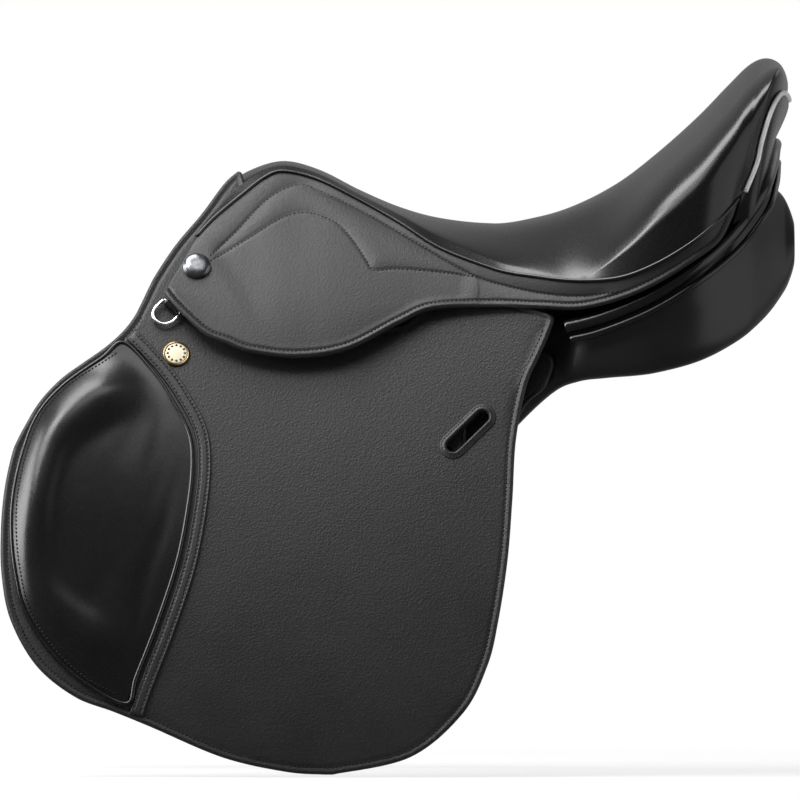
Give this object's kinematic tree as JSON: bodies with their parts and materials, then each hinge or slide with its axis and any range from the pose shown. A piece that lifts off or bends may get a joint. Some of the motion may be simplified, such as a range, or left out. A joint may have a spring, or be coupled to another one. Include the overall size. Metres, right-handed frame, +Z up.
{
  "type": "jumping saddle",
  "caption": "Close contact jumping saddle with a deep seat, forward flaps with knee pads, flocked panels, lifting flaps and skirts, girth straps and stirrup bars.",
  "frame": {"origin": "on the centre plane, on the line of the horse's back under the narrow part of the seat", "axes": "+X from pommel to cantle, +Y to the off side, +Z up"},
  "size_m": [0.5717, 0.4468, 0.516],
  "materials": {
    "seat_leather": "smooth satin leather",
    "flap_leather": "fine grained leather",
    "panel_leather": "soft smooth leather over wool",
    "strap_leather": "firm strap leather",
    "foam": "open foam",
    "web": "woven web",
    "tree_wood": "laminated wood",
    "spring_steel": "plain",
    "bar_steel": "satin",
    "ring_chrome": "polished",
    "nail_chrome": "polished",
    "stud_brass": "polished",
    "piping": "smooth"
  },
  "bodies": {
    "body": {"tree_head": "tree_wood", "tree_rail_left": "tree_wood", "tree_rail_right": "tree_wood", "tree_cantle": "tree_wood", "tree_point_left": "tree_wood", "tree_point_right": "tree_wood", "gullet_plate": "spring_steel", "spring_left": "spring_steel", "spring_right": "spring_steel", "seat_web_long": "web", "seat_web_cross": "web", "seat_foam": "foam", "seat_cover": "seat_leather", "head_lining": "flap_leather", "cantle_back": "seat_leather", "cantle_piping": "piping", "cantle_band": "seat_leather", "panel_left": "panel_leather", "panel_right": "panel_leather", "panel_welt_left": "seat_leather", "panel_welt_right": "seat_leather", "sweat_flap_left": "flap_leather", "sweat_flap_right": "flap_leather", "girth_web_left": "web", "girth_web_right": "web", "buckle_guard_left": "flap_leather", "buckle_guard_right": "flap_leather", "stirrup_bar_left": "bar_steel", "stirrup_bar_right": "bar_steel", "bar_rivets": "bar_steel", "flap_head_left": "flap_leather", "flap_head_right": "flap_leather", "skirt_left": "flap_leather", "skirt_right": "flap_leather", "ring_tab_left": "flap_leather", "ring_tab_right": "flap_leather", "skirt_nails": "nail_chrome"},
    "flap_left": {"flap_left": "flap_leather", "keeper_rim_left": "flap_leather", "knee_pad_left": "seat_leather", "knee_band_left": "flap_leather", "flap_stud_left": "stud_brass"},
    "skirt_left": {"skirt_lobe_left": "flap_leather"},
    "strap_front_left": {"girth_strap_front_left": "strap_leather"},
    "strap_middle_left": {"girth_strap_middle_left": "strap_leather"},
    "strap_rear_left": {"girth_strap_rear_left": "strap_leather"},
    "ring_left": {"front_ring_left": "ring_chrome"},
    "catch_left": {"bar_catch_left": "bar_steel"},
    "flap_right": {"flap_right": "flap_leather", "keeper_rim_right": "flap_leather", "knee_pad_right": "seat_leather", "knee_band_right": "flap_leather", "flap_stud_right": "stud_brass"},
    "skirt_right": {"skirt_lobe_right": "flap_leather"},
    "strap_front_right": {"girth_strap_front_right": "strap_leather"},
    "strap_middle_right": {"girth_strap_middle_right": "strap_leather"},
    "strap_rear_right": {"girth_strap_rear_right": "strap_leather"},
    "ring_right": {"front_ring_right": "ring_chrome"},
    "catch_right": {"bar_catch_right": "bar_steel"}
  },
  "joints": [
    {"name": "flap_lift_left", "type": "hinge", "parent": "body", "child": "flap_left", "pos_m": [-0.05521, -0.12505, -0.04433], "axis": [-0.9722, 0.1408, 0.1873], "range_deg": [0, 80]},
    {"name": "flap_lift_right", "type": "hinge", "parent": "body", "child": "flap_right", "pos_m": [-0.05521, 0.12505, -0.04433], "axis": [0.9722, 0.1408, -0.1873], "range_deg": [0, 80]},
    {"name": "skirt_lift_left", "type": "hinge", "parent": "body", "child": "skirt_left", "pos_m": [-0.05422, -0.11075, 0.01159], "axis": [-0.9925, 0.108, 0.0568], "range_deg": [0, 75]},
    {"name": "skirt_lift_right", "type": "hinge", "parent": "body", "child": "skirt_right", "pos_m": [-0.05422, 0.11075, 0.01159], "axis": [0.9925, 0.108, -0.0568], "range_deg": [0, 75]},
    {"name": "strap_swing_front_left", "type": "hinge", "parent": "body", "child": "strap_front_left", "pos_m": [-0.08988, -0.12049, -0.07209], "axis": [0, 1, 0], "range_deg": [-5, 5]},
    {"name": "strap_swing_front_right", "type": "hinge", "parent": "body", "child": "strap_front_right", "pos_m": [-0.08988, 0.12049, -0.07209], "axis": [0, 1, 0], "range_deg": [-5, 5]},
    {"name": "strap_swing_middle_left", "type": "hinge", "parent": "body", "child": "strap_middle_left", "pos_m": [-0.02769, -0.12281, -0.07195], "axis": [0, 1, 0], "range_deg": [-5, 5]},
    {"name": "strap_swing_middle_right", "type": "hinge", "parent": "body", "child": "strap_middle_right", "pos_m": [-0.02769, 0.12281, -0.07195], "axis": [0, 1, 0], "range_deg": [-5, 5]},
    {"name": "strap_swing_rear_left", "type": "hinge", "parent": "body", "child": "strap_rear_left", "pos_m": [0.03468, -0.12762, -0.07164], "axis": [0, 1, 0], "range_deg": [-5, 5]},
    {"name": "strap_swing_rear_right", "type": "hinge", "parent": "body", "child": "strap_rear_right", "pos_m": [0.03468, 0.12762, -0.07164], "axis": [0, 1, 0], "range_deg": [-5, 5]},
    {"name": "ring_swing_left", "type": "hinge", "parent": "body", "child": "ring_left", "pos_m": [-0.16365, -0.10016, -0.00111], "axis": [-0.7306, 0.3243, 0.6009], "range_deg": [0, 60]},
    {"name": "ring_swing_right", "type": "hinge", "parent": "body", "child": "ring_right", "pos_m": [-0.16365, 0.10016, -0.00111], "axis": [0.7306, 0.3243, -0.6009], "range_deg": [0, 60]},
    {"name": "catch_turn_left", "type": "hinge", "parent": "body", "child": "catch_left", "pos_m": [-0.02654, -0.10167, 0.00392], "axis": [-0.0825, -0.8842, 0.4597], "range_deg": [0, 80]},
    {"name": "catch_turn_right", "type": "hinge", "parent": "body", "child": "catch_right", "pos_m": [-0.02654, 0.10167, 0.00392], "axis": [0.0825, -0.8842, -0.4597], "range_deg": [0, 80]}
  ]
}
